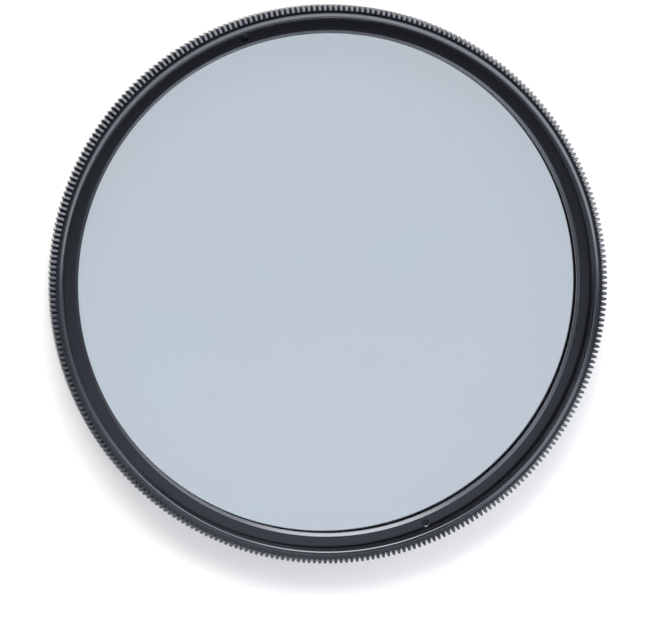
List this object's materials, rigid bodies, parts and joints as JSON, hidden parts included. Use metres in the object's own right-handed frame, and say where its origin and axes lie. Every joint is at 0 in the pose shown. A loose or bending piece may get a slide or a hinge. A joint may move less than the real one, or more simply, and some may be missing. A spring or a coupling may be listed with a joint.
{
  "type": "circular polarising lens filter",
  "caption": "Round screw-in camera filter: tinted glass in a knurled black front ring that turns freely on a threaded base ring.",
  "frame": {"origin": "on the optical axis, in the rear end of the lens thread", "axes": "+Z along the optical axis, from the lens towards the front; +Y up in the picture"},
  "size_m": [0.0804, 0.0804, 0.0097],
  "materials": {
    "black_anodised": "satin black anodised",
    "matte_black_anodised": "matte black anodised",
    "coated_glass": "polished, coated",
    "polarising_film": "clear grey film",
    "retarder_film": "clear film",
    "spring_steel": "plain spring steel"
  },
  "bodies": {
    "base": {"base_ring": "black_anodised"},
    "front": {"front_ring": "black_anodised", "retaining_ring": "matte_black_anodised", "front_glass": "coated_glass", "polarising_film": "polarising_film", "retarder_film": "retarder_film", "rear_glass": "coated_glass", "snap_ring": "spring_steel"}
  },
  "joints": [
    {"name": "front_ring_turn", "type": "hinge", "parent": "base", "child": "front", "pos_m": [0, 0, 0.0059], "axis": [0, 0, 1], "continuous": true}
  ]
}
